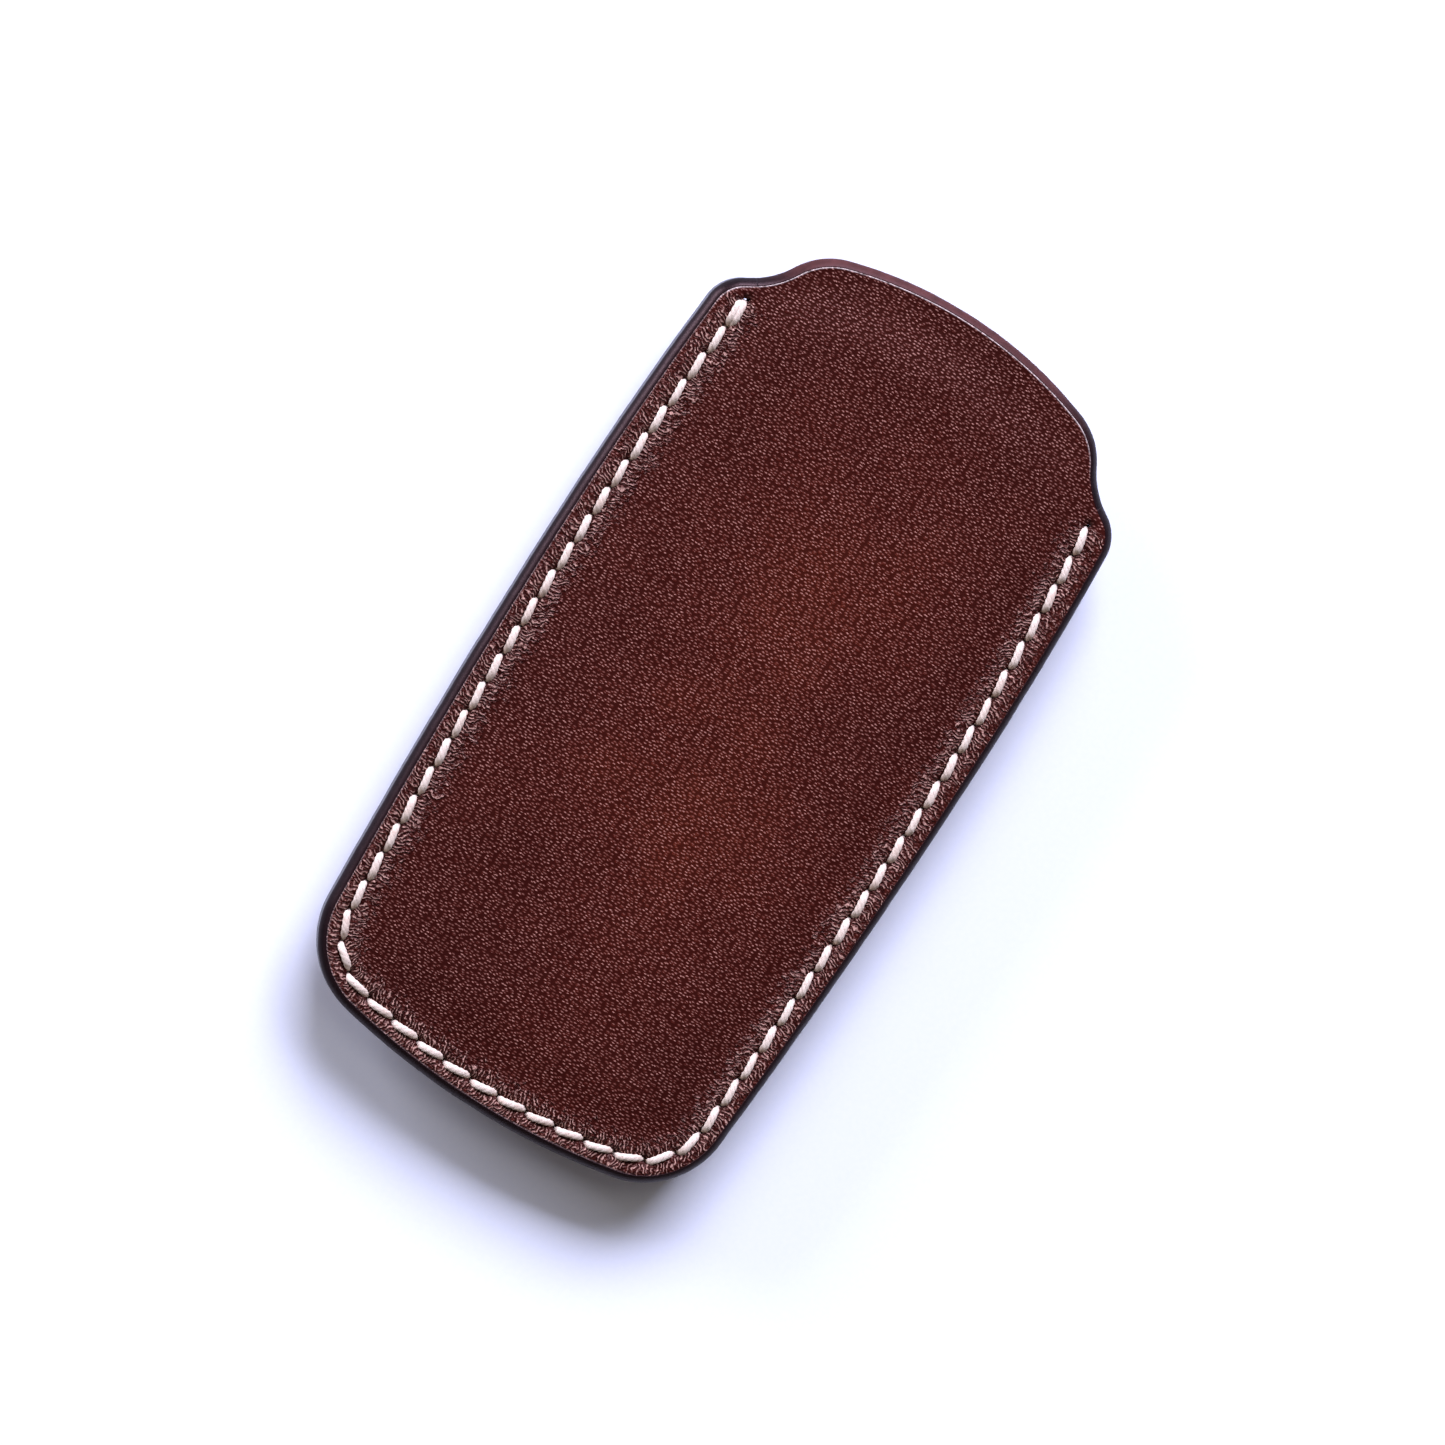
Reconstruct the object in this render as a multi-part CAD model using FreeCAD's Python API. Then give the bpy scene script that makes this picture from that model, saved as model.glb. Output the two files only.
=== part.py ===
import FreeCAD, Part
import math
import os

# Business card case: a hand-sewn leather pouch, lying on its pocket side.
#
# Frame, in millimetres: +Z up, +Y towards the open mouth, +X to the right of the tall back panel
# seen from above. The origin is the bottom centre of the bounding box.
#
# Layers from the floor up: front leather, front lining, the pocket, back lining, stiffening board,
# back leather. Both panels are sewn together along the sides and the bottom.

# ---- driving dimensions ----
LENGTH = 129.0
WIDTH = 68.8

LEATHER = 1.5
LINING = 0.8
BOARD = 0.5
POCKET_DEPTH = 4.8

# Outline of the back panel: an arch, a hollow flare each side, a shoulder, a barrel side, a rounded
# corner and a gently curved bottom.
ARCH_RADIUS = 63.5
ARCH_CORNER_RADIUS = 10.5
ARCH_CORNER_X = 16.2
FLARE_RADIUS = 12.0
SHOULDER_RADIUS = 6.0
SHOULDER_DROP = 18.0
WIDEST_DROP = 51.0
UPPER_SIDE_RADIUS = 500.0
LOWER_SIDE_RADIUS = 1000.0
CORNER_RADIUS = 13.0
BOTTOM_RADIUS = 110.0

# Edges: bevelled leather under a domed coat.
COAT = 0.3
EDGE_ROUND = 1.1
BEVEL = 0.9

# Mouth of the front panel, with its thumb notch.
MOUTH_DROP = 12.0
NOTCH_HALF_WIDTH = 14.0
NOTCH_DEPTH = 20.0
NOTCH_ENTRY_RADIUS = 4.0

# The pocket's bulge and the board, both measured inwards from the outline.
BULGE_START = 5.0
BULGE_RUN = 7.0
BULGE_START_BOTTOM = 4.5
BULGE_CORNER = 11.0
BULGE_FLOOR_CORNER = 7.0
BOARD_SKIVE = 8.0
BOARD_TOP_INSET = 4.0
BOARD_TOP_RADIUS = 62.0
BOARD_TOP_CORNER = 16.0

# Seam.
STITCH_COUNT = 59
SEAM_INSET = 3.9
SEAM_INSET_BOTTOM = 3.3
SEAM_CORNER_RADIUS = 9.5
SEAM_WIDEST_DROP = 59.0
SEAM_START_DROP = 15.5
SLIT_LENGTH = 1.3
SLIT_WIDTH = 0.5
SLIT_SLANT = 40.0
THREAD_WIDTH = 0.8
THREAD_HEIGHT = 0.5
THREAD_ROUND = 0.3
THREAD_REACH = 0.44

# ---- heights of the layers ----
Z_FRONT = POCKET_DEPTH
Z_FRONT_LINING = Z_FRONT + LEATHER
Z_PARTING = Z_FRONT_LINING + LINING
Z_BACK_LEATHER = Z_PARTING + LINING
Z_RIM = Z_BACK_LEATHER + LEATHER
PANEL = LEATHER + LINING

# ---- landmarks ----
TOP = LENGTH / 2
BOTTOM = -LENGTH / 2
WIDEST_Y = TOP - WIDEST_DROP
MOUTH_Y = TOP - MOUTH_DROP
SEAM_START_Y = TOP - SEAM_START_DROP
SEAM_WIDEST_Y = TOP - SEAM_WIDEST_DROP
FAR = 2 * LENGTH


# ---- plane geometry: circles as (x, y, radius) ----

def meeting_point(a, b, right):
    """Where two circles cross, on the right or the left of the line from a's centre to b's."""
    dx = b[0] - a[0]
    dy = b[1] - a[1]
    gap = math.hypot(dx, dy)
    along = (a[2] ** 2 - b[2] ** 2 + gap ** 2) / (2 * gap)
    aside = math.sqrt(a[2] ** 2 - along ** 2)
    if not right:
        aside = -aside
    x = a[0] + (along * dx + aside * dy) / gap
    y = a[1] + (along * dy - aside * dx) / gap
    return x, y


def corner_inside(a, b, radius, right):
    """The circle of this radius that rounds the corner where circles a and b cross, inside both."""
    reach_a = (a[0], a[1], a[2] - radius)
    reach_b = (b[0], b[1], b[2] - radius)
    x, y = meeting_point(reach_a, reach_b, right)
    return x, y, radius


def touching_point(a, b, outside):
    """Where two tangent circles touch: outside each other, or the smaller within the larger."""
    if outside:
        dx = b[0] - a[0]
        dy = b[1] - a[1]
        gap = math.hypot(dx, dy)
        return a[0] + a[2] * dx / gap, a[1] + a[2] * dy / gap
    big, small = (a, b) if a[2] > b[2] else (b, a)
    dx = small[0] - big[0]
    dy = small[1] - big[1]
    gap = math.hypot(dx, dy)
    return big[0] + big[2] * dx / gap, big[1] + big[2] * dy / gap


def arc_middle(circle, start, end):
    """The middle of the shorter arc of a circle from start to end."""
    mx = (start[0] + end[0]) / 2 - circle[0]
    my = (start[1] + end[1]) / 2 - circle[1]
    size = math.hypot(mx, my)
    return circle[0] + circle[2] * mx / size, circle[1] + circle[2] * my / size


def upper_side(inset, widest_y=WIDEST_Y):
    return WIDTH / 2 - UPPER_SIDE_RADIUS, widest_y, UPPER_SIDE_RADIUS - inset


def lower_side(inset, widest_y=WIDEST_Y):
    return WIDTH / 2 - LOWER_SIDE_RADIUS, widest_y, LOWER_SIDE_RADIUS - inset


def bottom_circle(inset):
    return 0.0, BOTTOM + BOTTOM_RADIUS, BOTTOM_RADIUS - inset


def point_at_height(circle, y):
    """The right-hand point of a circle at height y."""
    x = circle[0] + math.sqrt(circle[2] ** 2 - (y - circle[1]) ** 2)
    return x, y


def lower_half(inset, bottom_inset, corner_radius, widest_y=WIDEST_Y):
    """Circles and the points between them, from the widest point down to the bottom's middle."""
    side = lower_side(inset, widest_y)
    floor = bottom_circle(bottom_inset)
    corner = corner_inside(side, floor, corner_radius, True)
    points = [
        (WIDTH / 2 - inset, widest_y),
        touching_point(side, corner, False),
        touching_point(corner, floor, False),
        (0.0, BOTTOM + bottom_inset),
    ]
    return [side, corner, floor], points


# ---- wires ----

def vector(point, z):
    return FreeCAD.Vector(point[0], point[1], z)


def right_half_edges(circles, points, z):
    edges = []
    for circle, start, end in zip(circles, points, points[1:]):
        middle = arc_middle(circle, start, end)
        edges.append(Part.Arc(vector(start, z), vector(middle, z), vector(end, z)).toShape())
    return edges


def mirrored_wire(circles, points, z):
    """A closed wire from its right half, which runs from the middle of its top to that of its bottom."""
    right = right_half_edges(circles, points, z)
    left_points = [(-x, y) for x, y in points]
    left_circles = [(-x, y, r) for x, y, r in circles]
    left = right_half_edges(left_circles, left_points, z)
    return Part.Wire(right + left[::-1])


def case_outline(inset, z):
    """The full outline with its arch, flares and shoulders, moved inwards by inset."""
    arch = (0.0, TOP - ARCH_RADIUS, ARCH_RADIUS - inset)
    reach = ARCH_RADIUS - ARCH_CORNER_RADIUS
    arch_corner_y = arch[1] + math.sqrt(reach ** 2 - ARCH_CORNER_X ** 2)
    arch_corner = (ARCH_CORNER_X, arch_corner_y, ARCH_CORNER_RADIUS - inset)
    shoulder_y = TOP - SHOULDER_DROP
    within_side = (WIDTH / 2 - UPPER_SIDE_RADIUS, WIDEST_Y, UPPER_SIDE_RADIUS - SHOULDER_RADIUS)
    shoulder = point_at_height(within_side, shoulder_y) + (SHOULDER_RADIUS - inset,)
    round_corner = (arch_corner[0], arch_corner[1], FLARE_RADIUS + ARCH_CORNER_RADIUS)
    round_shoulder = (shoulder[0], shoulder[1], FLARE_RADIUS + SHOULDER_RADIUS)
    flare_x, flare_y = meeting_point(round_corner, round_shoulder, False)
    flare = (flare_x, flare_y, FLARE_RADIUS + inset)
    side = upper_side(inset)
    circles = [arch, arch_corner, flare, shoulder, side]
    points = [
        (0.0, TOP - inset),
        touching_point(arch, arch_corner, False),
        touching_point(arch_corner, flare, True),
        touching_point(flare, shoulder, True),
        touching_point(shoulder, side, False),
    ]
    lower_circles, lower_points = lower_half(inset, inset, CORNER_RADIUS - inset)
    return mirrored_wire(circles + lower_circles, points + lower_points, z)


def board_outline(inset, top_inset, z):
    """A plain barrel with an arched top, for the stiffening board."""
    top = (0.0, TOP - top_inset - BOARD_TOP_RADIUS, BOARD_TOP_RADIUS)
    side = upper_side(inset)
    corner = corner_inside(top, side, BOARD_TOP_CORNER - inset, True)
    circles = [top, corner, side]
    points = [
        (0.0, TOP - top_inset),
        touching_point(top, corner, False),
        touching_point(corner, side, False),
    ]
    lower_circles, lower_points = lower_half(inset, inset, BULGE_CORNER)
    return mirrored_wire(circles + lower_circles, points + lower_points, z)


def bulge_outline(inset, bottom_inset, corner_radius, z):
    """A barrel that runs straight out past the mouth, for the bulge of the pocket."""
    side = upper_side(inset)
    above_mouth = point_at_height(side, TOP + EDGE_ROUND)
    lower_circles, lower_points = lower_half(inset, bottom_inset, corner_radius)
    circles = [side] + lower_circles
    points = [above_mouth] + lower_points
    right = right_half_edges(circles, points, z)
    left_points = [(-x, y) for x, y in points]
    left_circles = [(-x, y, r) for x, y, r in circles]
    left = right_half_edges(left_circles, left_points, z)
    lid = Part.makeLine(vector(left_points[0], z), vector(above_mouth, z))
    return Part.Wire([lid] + right + left[::-1])


# ---- solids ----

def prism(wire, z_low, z_high):
    """A wire that lies at z_low, pulled up to z_high."""
    return Part.Face(wire).extrude(FreeCAD.Vector(0, 0, z_high - z_low))


def slab(y_low, y_high, z_low, z_high):
    return Part.makeBox(FAR, y_high - y_low, z_high - z_low, FreeCAD.Vector(-FAR / 2, y_low, z_low))


def rim_edges(solid, heights):
    """The edges that lie flat at one of the given heights."""
    found = []
    for edge in solid.Edges:
        box = edge.BoundBox
        flat = box.ZLength < 1e-6
        if flat and any(abs(box.ZMin - z) < 1e-6 for z in heights):
            found.append(edge)
    return found


def bevelled_stack(z_low, z_high):
    """Leather cut to the outline, less the coat, with both rims bevelled."""
    solid = prism(case_outline(COAT, z_low), z_low, z_high)
    return solid.makeChamfer(BEVEL, rim_edges(solid, (z_low, z_high)))


def domed_stack(z_low, z_high):
    """The same with its coat on: cut to the outline, both rims rounded."""
    solid = prism(case_outline(0.0, z_low), z_low, z_high)
    return solid.makeFillet(EDGE_ROUND, rim_edges(solid, (z_low, z_high)))


def bulge(z_low, z_high):
    """The tapered bulge of the pocket side, wide at z_high."""
    wide = bulge_outline(BULGE_START, BULGE_START_BOTTOM, BULGE_CORNER, z_high)
    start = BULGE_START + BULGE_RUN
    start_bottom = BULGE_START_BOTTOM + BULGE_RUN
    narrow = bulge_outline(start, start_bottom, BULGE_FLOOR_CORNER, z_low)
    return Part.makeLoft([narrow, wide], True, True)


def skived_board(z_low):
    """A board whose edges are pared away to nothing."""
    wide = board_outline(BULGE_START, BOARD_TOP_INSET, z_low)
    inset = BULGE_START + BOARD_SKIVE
    narrow = board_outline(inset, BOARD_TOP_INSET + BOARD_SKIVE, z_low + BOARD)
    return Part.makeLoft([wide, narrow], True, True)


def mouth_cut(coat):
    """All that lies above the front panel's mouth, thumb notch included, grown by coat."""
    low = -COAT
    high = Z_PARTING - low
    y = MOUTH_Y - coat
    half = NOTCH_HALF_WIDTH + coat
    entry = NOTCH_ENTRY_RADIUS - coat
    bowl_y = MOUTH_Y - NOTCH_DEPTH + NOTCH_HALF_WIDTH
    bowl = Part.makeCylinder(half, high, FreeCAD.Vector(0, bowl_y, low))
    channel = Part.makeBox(2 * half, MOUTH_Y - bowl_y, high, FreeCAD.Vector(-half, bowl_y, low))
    cut = slab(y, FAR, low, Z_PARTING).fuse([bowl, channel])
    for side in (-1, 1):
        corner_x = side * half + (0 if side > 0 else -entry)
        block = Part.makeBox(entry, entry, high, FreeCAD.Vector(corner_x, y - entry, low))
        round_x = side * (half + entry)
        rounding = Part.makeCylinder(entry, high, FreeCAD.Vector(round_x, y - entry, low))
        cut = cut.fuse(block.cut(rounding))
    return cut


# ---- the seam: holes evenly spaced along the sides and the bottom ----

def seam_right_half():
    """The seam's circles and points from the mouth down to the bottom's middle, on the right."""
    side = upper_side(SEAM_INSET, SEAM_WIDEST_Y)
    start = point_at_height(side, SEAM_START_Y)
    lower_circles, lower_points = lower_half(
        SEAM_INSET, SEAM_INSET_BOTTOM, SEAM_CORNER_RADIUS, SEAM_WIDEST_Y
    )
    return [side] + lower_circles, [start] + lower_points


def arc_angles(circle, start, end):
    a = math.atan2(start[1] - circle[1], start[0] - circle[0])
    b = math.atan2(end[1] - circle[1], end[0] - circle[0])
    return a, b


def seam_holes():
    """Holes (x, y, heading) from the left end of the seam, down, across and up to the right end."""
    circles, points = seam_right_half()
    spans = []
    for circle, start, end in zip(circles, points, points[1:]):
        a, b = arc_angles(circle, start, end)
        spans.append((circle, a, b, abs(b - a) * circle[2]))
    half_length = sum(span[3] for span in spans)
    pitch = 2 * half_length / STITCH_COUNT
    right = []
    for i in range((STITCH_COUNT + 1) // 2):
        left_over = i * pitch
        for circle, a, b, length in spans:
            if left_over <= length:
                break
            left_over -= length
        angle = a + (b - a) * left_over / length
        x = circle[0] + circle[2] * math.cos(angle)
        y = circle[1] + circle[2] * math.sin(angle)
        right.append((x, y, angle + math.pi / 2))
    left = [(-x, y, -heading) for x, y, heading in right]
    return left + right[::-1], pitch


def slit_direction(heading):
    angle = heading - math.radians(SLIT_SLANT)
    return math.cos(angle), math.sin(angle)


def slit_prism(hole, z_low, z_high):
    x, y, heading = hole
    solid = Part.makeBox(
        SLIT_LENGTH,
        SLIT_WIDTH,
        z_high - z_low,
        FreeCAD.Vector(-SLIT_LENGTH / 2, -SLIT_WIDTH / 2, z_low),
    )
    turn = math.degrees(heading) - SLIT_SLANT
    solid.Placement = FreeCAD.Placement(
        FreeCAD.Vector(x, y, 0),
        FreeCAD.Rotation(FreeCAD.Vector(0, 0, 1), turn),
    )
    return solid


def stitch_bar(start, end, z, upwards, width):
    """One stitch lying on the leather: flat below, rounded above."""
    dx = end[0] - start[0]
    dy = end[1] - start[1]
    length = math.hypot(dx, dy)
    bar = Part.makeBox(length, width, THREAD_HEIGHT, FreeCAD.Vector(0, -width / 2, 0))
    crown = []
    for edge in bar.Edges:
        box = edge.BoundBox
        if box.XLength > length / 2 and box.ZMin > THREAD_HEIGHT / 2:
            crown.append(edge)
    bar = bar.makeFillet(THREAD_ROUND, crown)
    if not upwards:
        bar = bar.mirror(FreeCAD.Vector(0, 0, 0), FreeCAD.Vector(0, 0, 1))
    bar.Placement = FreeCAD.Placement(
        FreeCAD.Vector(start[0], start[1], z),
        FreeCAD.Rotation(FreeCAD.Vector(0, 0, 1), math.degrees(math.atan2(dy, dx))),
    )
    return bar


def make_thread(holes):
    """One thread: a leg in each slit, and a stitch between each two on both faces."""
    pieces = []
    for hole in holes:
        pieces.append(slit_prism(hole, Z_FRONT - THREAD_HEIGHT / 2, Z_RIM + THREAD_HEIGHT / 2))
    for i, (a, b) in enumerate(zip(holes, holes[1:])):
        from_x, from_y = slit_direction(a[2])
        to_x, to_y = slit_direction(b[2])
        start = (a[0] + THREAD_REACH * from_x, a[1] + THREAD_REACH * from_y)
        end = (b[0] - THREAD_REACH * to_x, b[1] - THREAD_REACH * to_y)
        width = 2 * THREAD_WIDTH if i == 0 else THREAD_WIDTH
        pieces.append(stitch_bar(start, end, Z_RIM, True, width))
        pieces.append(stitch_bar(start, end, Z_FRONT, False, THREAD_WIDTH))
    return pieces[0].multiFuse(pieces[1:])


# ---- sub-parts ----

holes, pitch = seam_holes()
slits = Part.makeCompound([slit_prism(hole, 0.0, Z_RIM + BOARD) for hole in holes])

body_stack = bevelled_stack(Z_FRONT, Z_RIM).common(slab(-FAR, MOUTH_Y, 0, Z_RIM))
arch_stack = bevelled_stack(Z_PARTING, Z_RIM).common(slab(MOUTH_Y, FAR, 0, Z_RIM))
board = skived_board(Z_BACK_LEATHER)

leather_bulge = bulge(0.0, Z_FRONT)
leather_hollow = bulge(LEATHER, Z_FRONT_LINING)
pocket_hollow = bulge(PANEL, Z_PARTING)
below_mouth = mouth_cut(COAT)


def make_back_leather():
    field = skived_board(Z_RIM)
    layer = slab(-FAR, FAR, Z_BACK_LEATHER, Z_RIM)
    sheet = body_stack.common(layer).fuse(arch_stack.common(layer))
    return sheet.fuse(field).cut(board).cut(slits).removeSplitter()


def make_back_lining():
    layer = slab(-FAR, FAR, Z_PARTING, Z_BACK_LEATHER)
    sheet = body_stack.common(layer).fuse(arch_stack.common(layer))
    return sheet.cut(slits).removeSplitter()


def make_front_leather():
    margin = body_stack.common(slab(-FAR, FAR, Z_FRONT, Z_FRONT_LINING))
    formed = margin.fuse(leather_bulge).cut(leather_hollow)
    return formed.cut(below_mouth).cut(slits).removeSplitter()


def make_front_lining():
    margin = body_stack.common(slab(-FAR, FAR, Z_FRONT_LINING, Z_PARTING))
    formed = margin.fuse(leather_hollow).cut(pocket_hollow)
    return formed.cut(below_mouth).cut(slits).removeSplitter()


def make_front_mouth_edge_paint():
    margin = body_stack.common(slab(-FAR, FAR, Z_FRONT, Z_PARTING))
    formed = margin.fuse(leather_bulge).fuse(leather_hollow).cut(pocket_hollow)
    return formed.common(below_mouth).cut(mouth_cut(0.0)).removeSplitter()


def make_body_edge_paint():
    ring = domed_stack(Z_FRONT, Z_RIM).cut(bevelled_stack(Z_FRONT, Z_RIM))
    return ring.common(slab(-FAR, MOUTH_Y, 0, Z_RIM))


def make_back_mouth_edge_paint():
    ring = domed_stack(Z_PARTING, Z_RIM).cut(bevelled_stack(Z_PARTING, Z_RIM))
    return ring.common(slab(MOUTH_Y, FAR, 0, Z_RIM))


sub_parts = {
    "back_leather": make_back_leather(),
    "back_stiffener": board,
    "back_lining": make_back_lining(),
    "front_leather": make_front_leather(),
    "front_lining": make_front_lining(),
    "seam_thread": make_thread(holes),
    "body_edge_paint": make_body_edge_paint(),
    "back_mouth_edge_paint": make_back_mouth_edge_paint(),
    "front_mouth_edge_paint": make_front_mouth_edge_paint(),
}

os.makedirs("parts", exist_ok=True)
for name, shape in sub_parts.items():
    shape.exportStep(f"parts/{name}.step")
    box = shape.BoundBox
    print(
        f"{name}: {len(shape.Solids)} solid(s), valid {shape.isValid()}, {shape.Volume:.0f} mm3,",
        f"x {box.XMin:.2f}..{box.XMax:.2f}, y {box.YMin:.2f}..{box.YMax:.2f}, z {box.ZMin:.2f}..{box.ZMax:.2f}",
    )
print(f"stitch pitch {pitch:.3f}")
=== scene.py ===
import math
import bmesh
import bpy
import numpy as np
from mathutils import Matrix, Vector
from mathutils.geometry import delaunay_2d_cdt


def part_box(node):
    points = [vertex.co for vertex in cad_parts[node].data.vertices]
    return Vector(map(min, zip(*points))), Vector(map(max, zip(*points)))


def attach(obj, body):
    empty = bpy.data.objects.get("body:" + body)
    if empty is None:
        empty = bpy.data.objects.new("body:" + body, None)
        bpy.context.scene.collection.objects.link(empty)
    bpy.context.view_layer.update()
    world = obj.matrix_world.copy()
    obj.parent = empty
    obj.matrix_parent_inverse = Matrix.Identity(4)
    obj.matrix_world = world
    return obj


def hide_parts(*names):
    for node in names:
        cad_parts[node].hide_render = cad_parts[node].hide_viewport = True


# Looks of a hand-sewn leather card case that lies on its pocket side. Lengths are in millimetres up to
# the mesh, which is in metres, in the frame of the CAD: +Z up, +Y towards the mouth, +X to the right.

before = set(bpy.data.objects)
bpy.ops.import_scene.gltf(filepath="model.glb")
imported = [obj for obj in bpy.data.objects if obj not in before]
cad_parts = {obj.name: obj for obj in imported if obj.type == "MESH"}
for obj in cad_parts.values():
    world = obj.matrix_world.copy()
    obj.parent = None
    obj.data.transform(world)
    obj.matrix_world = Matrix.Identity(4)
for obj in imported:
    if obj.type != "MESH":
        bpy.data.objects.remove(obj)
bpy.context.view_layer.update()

MM = 0.001
UP = math.pi / 2

# ---- places taken from the CAD ----


def edges_of(node):
    """A CAD node's lowest and highest corners, in millimetres."""
    low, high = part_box(node)
    return np.array(low) / MM, np.array(high) / MM


body_low, body_high = edges_of("body_edge_paint")
arch_high = edges_of("back_mouth_edge_paint")[1]
board_low, board_high = edges_of("back_stiffener")
front_low, front_high = edges_of("front_leather")
lining_low, lining_high = edges_of("back_lining")

HALF_WIDTH = body_high[0]
TOP = arch_high[1]
BOTTOM = body_low[1]
MOUTH_Y = body_high[1]
Z_FLOOR = front_low[2]
Z_FRONT = body_low[2]
Z_FRONT_LINING = front_high[2]
Z_PARTING = lining_low[2]
Z_BACK_LEATHER = lining_high[2]
Z_RIM = body_high[2]
BOARD = board_high[2] - board_low[2]
LEATHER = Z_RIM - Z_BACK_LEATHER

# The outline's circles and the shapes within it, as in the CAD.
ARCH_RADIUS = 63.5
ARCH_CORNER_RADIUS = 10.5
ARCH_CORNER_X = 16.2
FLARE_RADIUS = 12.0
SHOULDER_RADIUS = 6.0
SHOULDER_DROP = 18.0
WIDEST_DROP = 51.0
UPPER_SIDE_RADIUS = 500.0
LOWER_SIDE_RADIUS = 1000.0
CORNER_RADIUS = 13.0
BOTTOM_RADIUS = 110.0

COAT = 0.3
BEVEL = 0.9
RIM_INSET = COAT + BEVEL
EDGE_ROUND = 1.1
NOTCH_HALF_WIDTH = 14.0
NOTCH_DEPTH = 20.0
NOTCH_ENTRY_RADIUS = 4.0
BULGE_START = 5.0
BULGE_START_BOTTOM = 4.5
BULGE_RUN = 7.0
BULGE_CORNER = 11.0
BULGE_PAST_TOP = 10.0
BOARD_SKIVE = 8.0
BOARD_TOP_INSET = 4.0
BOARD_TOP_RADIUS = 62.0
BOARD_TOP_CORNER = 16.0

STITCH_COUNT = 59
SEAM_INSET = 3.9
SEAM_INSET_BOTTOM = 3.3
SEAM_CORNER_RADIUS = 9.5
SEAM_START_DROP = 15.5
SEAM_WIDEST_DROP = 59.0
SLIT_LENGTH = 1.3
SLIT_WIDTH = 0.5
SLIT_SLANT = math.radians(40.0)
THREAD_REACH = 0.44
THREAD_WIDTH = 1.12
THREAD_HEIGHT = 0.62

WIDEST_Y = TOP - WIDEST_DROP
SEAM_START_Y = TOP - SEAM_START_DROP
SEAM_WIDEST_Y = TOP - SEAM_WIDEST_DROP

# How finely lines are traced. Distances to the outline and the seam are taken from coarser copies.
OUTLINE_STEP = 0.3
COARSE_OUTLINE_STEP = 1.2
SEAM_STEP = 0.16
COARSE_SEAM_STEP = 0.9
FIELD_STEP = 0.5
MOUTH_STEP = 0.35


# ---- plane geometry: circles as (x, y, radius, side), side -1 where the outline is hollow ----

def crossing(a, b, right):
    """Where two circles cross, on the right or the left of the line from a's centre to b's."""
    dx = b[0] - a[0]
    dy = b[1] - a[1]
    gap = math.hypot(dx, dy)
    along = (a[2] ** 2 - b[2] ** 2 + gap ** 2) / (2 * gap)
    aside = math.sqrt(a[2] ** 2 - along ** 2) * (1 if right else -1)
    return a[0] + (along * dx + aside * dy) / gap, a[1] + (along * dy - aside * dx) / gap


def corner_in(a, b, radius):
    """The circle that rounds the corner where circles a and b cross, inside both."""
    x, y = crossing((a[0], a[1], a[2] - radius), (b[0], b[1], b[2] - radius), True)
    return x, y, radius, 1


def shared_normal(a, b):
    """The outward direction, as an angle, where two tangent circles of an outline meet."""
    if a[3] == b[3]:
        outer, inner = (a, b) if a[2] > b[2] else (b, a)
    else:
        outer, inner = (a, b) if a[3] > 0 else (b, a)
    return math.atan2(inner[1] - outer[1], inner[0] - outer[0])


def trace(circles, start, end, step):
    """Points and outward normals along tangent circles, between two directions of the normal."""
    turns = [start] + [shared_normal(a, b) for a, b in zip(circles, circles[1:])] + [end]
    points = []
    normals = []
    for circle, a, b in zip(circles, turns, turns[1:]):
        x, y, radius, side = circle
        count = max(2, math.ceil(radius * abs(b - a) / step))
        for i in range(count + (circle is circles[-1])):
            angle = a + (b - a) * i / count
            n = (math.cos(angle), math.sin(angle))
            points.append((x + side * radius * n[0], y + side * radius * n[1]))
            normals.append(n)
    return np.array(points), np.array(normals)


def with_left_half(points, normals, closed):
    """A right half from top to bottom, with its mirror image from bottom to top."""
    flip = np.array([-1.0, 1.0])
    stop = 0 if closed else None
    left_points = points[-2:stop:-1] * flip
    left_normals = normals[-2:stop:-1] * flip
    return np.vstack([points, left_points]), np.vstack([normals, left_normals])


def side_circle(radius, inset, widest_y=WIDEST_Y):
    """The bow of the right side, moved inwards."""
    return HALF_WIDTH - radius, widest_y, radius - inset, 1


def lower_circles(inset, bottom_inset, corner_radius, widest_y=WIDEST_Y):
    """The lower right of the outline, moved inwards: side, corner and bottom."""
    side = side_circle(LOWER_SIDE_RADIUS, inset, widest_y)
    floor = (0.0, BOTTOM + BOTTOM_RADIUS, BOTTOM_RADIUS - bottom_inset, 1)
    return [side, corner_in(side, floor, corner_radius), floor]


def upper_circles():
    """The upper right of the outline: arch, its corner, hollow flare, shoulder and side."""
    arch = (0.0, TOP - ARCH_RADIUS, ARCH_RADIUS, 1)
    reach = ARCH_RADIUS - ARCH_CORNER_RADIUS
    corner_y = arch[1] + math.sqrt(reach ** 2 - ARCH_CORNER_X ** 2)
    corner = (ARCH_CORNER_X, corner_y, ARCH_CORNER_RADIUS, 1)
    side = side_circle(UPPER_SIDE_RADIUS, 0.0)
    shoulder_y = TOP - SHOULDER_DROP
    reach = UPPER_SIDE_RADIUS - SHOULDER_RADIUS
    shoulder_x = side[0] + math.sqrt(reach ** 2 - (shoulder_y - WIDEST_Y) ** 2)
    shoulder = (shoulder_x, shoulder_y, SHOULDER_RADIUS, 1)
    beside_corner = (corner[0], corner[1], FLARE_RADIUS + ARCH_CORNER_RADIUS)
    beside_shoulder = (shoulder[0], shoulder[1], FLARE_RADIUS + SHOULDER_RADIUS)
    flare = crossing(beside_corner, beside_shoulder, False) + (FLARE_RADIUS, -1)
    return [arch, corner, flare, shoulder, side]


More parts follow.
